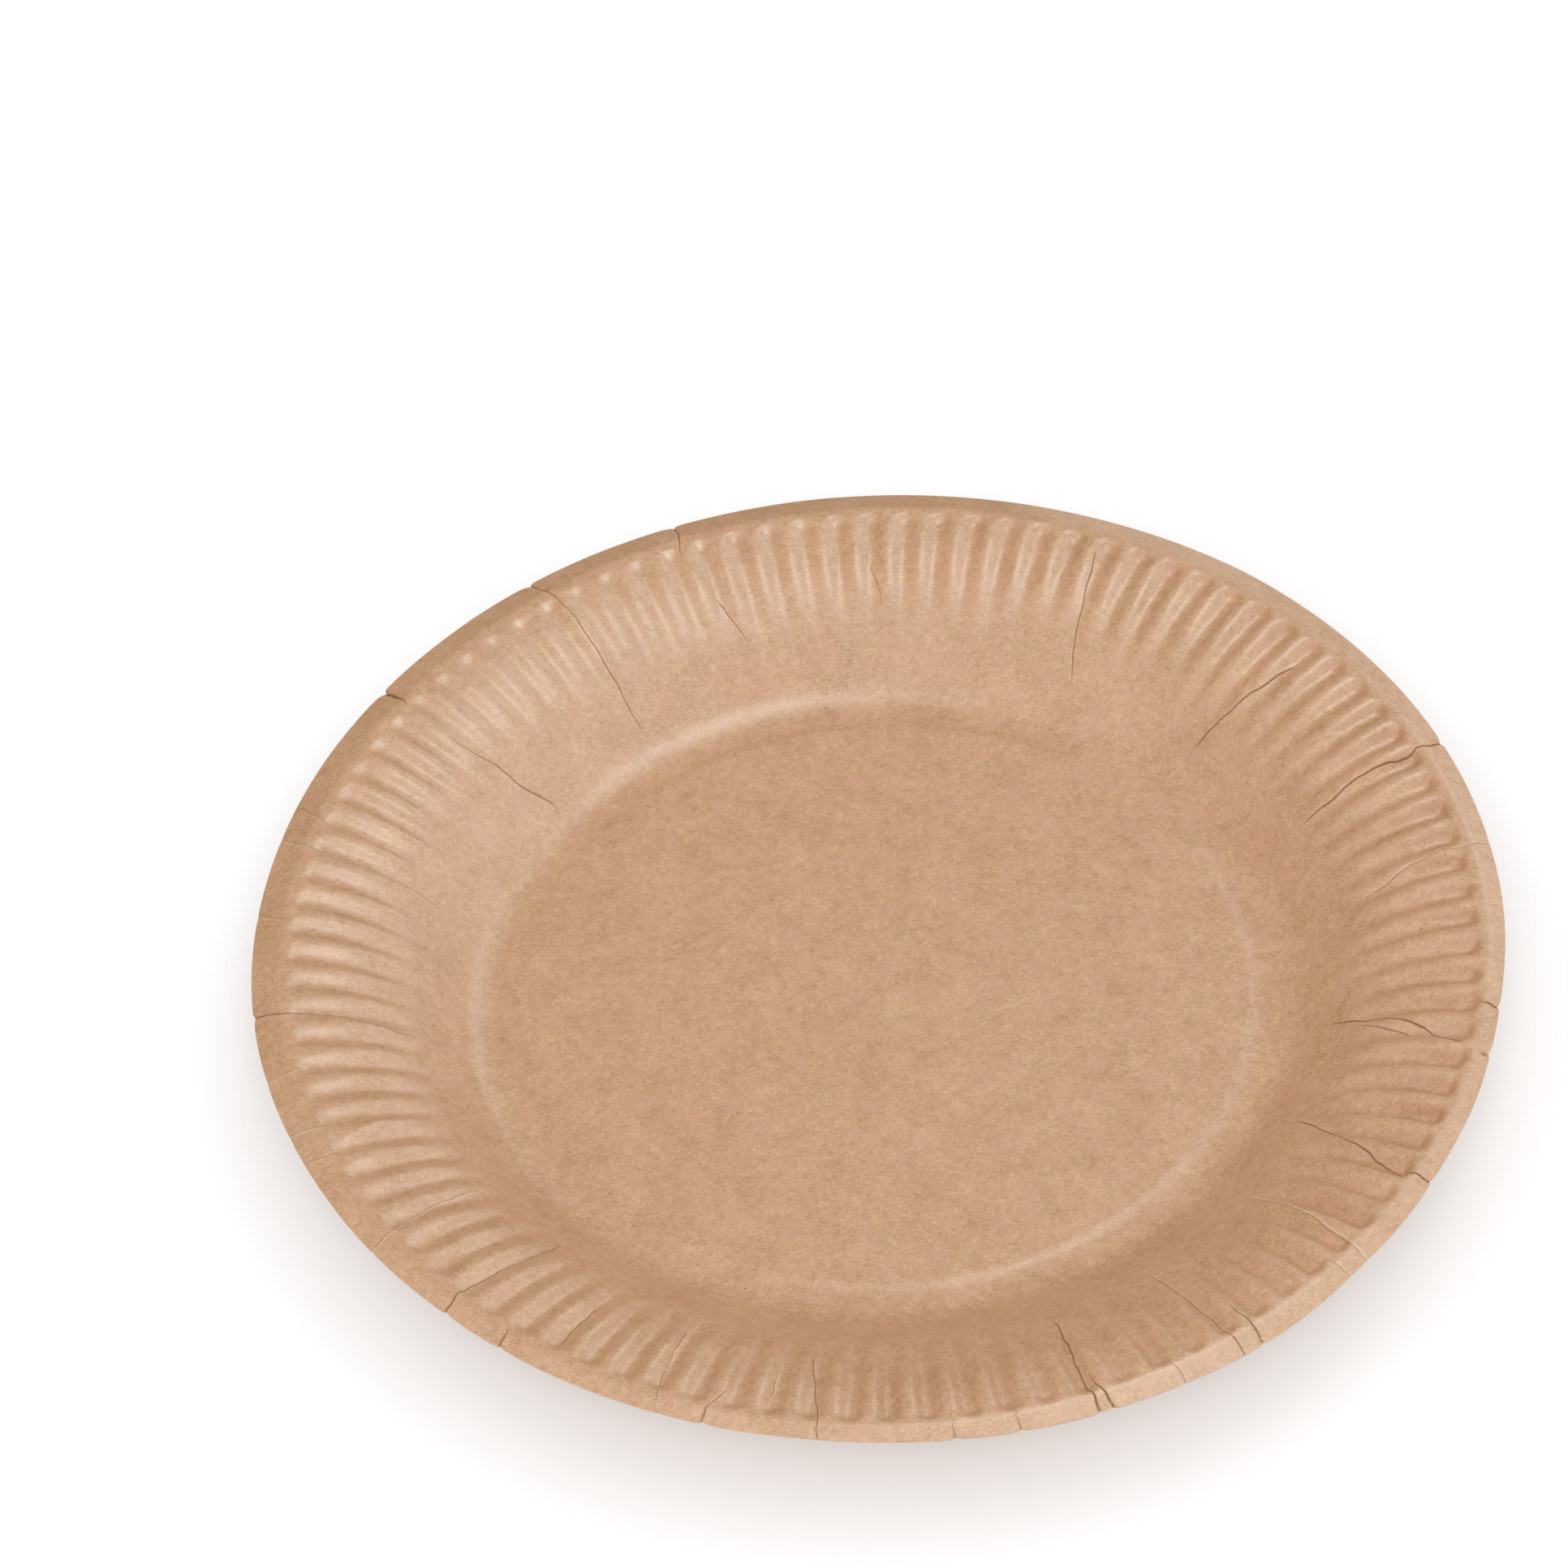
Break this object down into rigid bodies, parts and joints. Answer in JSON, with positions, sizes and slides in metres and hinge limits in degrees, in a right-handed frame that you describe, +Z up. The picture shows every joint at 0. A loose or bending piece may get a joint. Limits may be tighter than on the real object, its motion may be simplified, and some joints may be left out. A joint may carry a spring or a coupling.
{
  "type": "paper plate",
  "caption": "Round plate of pressed brown paperboard with a shallow flat well, a fluted wall and a plain turned-down lip.",
  "frame": {"origin": "centre of the foot ring, on the surface the plate stands on", "axes": "+Z up along the plate's axis, towards the open eating side; X and Y lie in the table"},
  "size_m": [0.23, 0.23, 0.0185],
  "materials": {
    "board": "satin"
  },
  "bodies": {
    "root": {"plate": "board"}
  },
  "joints": []
}
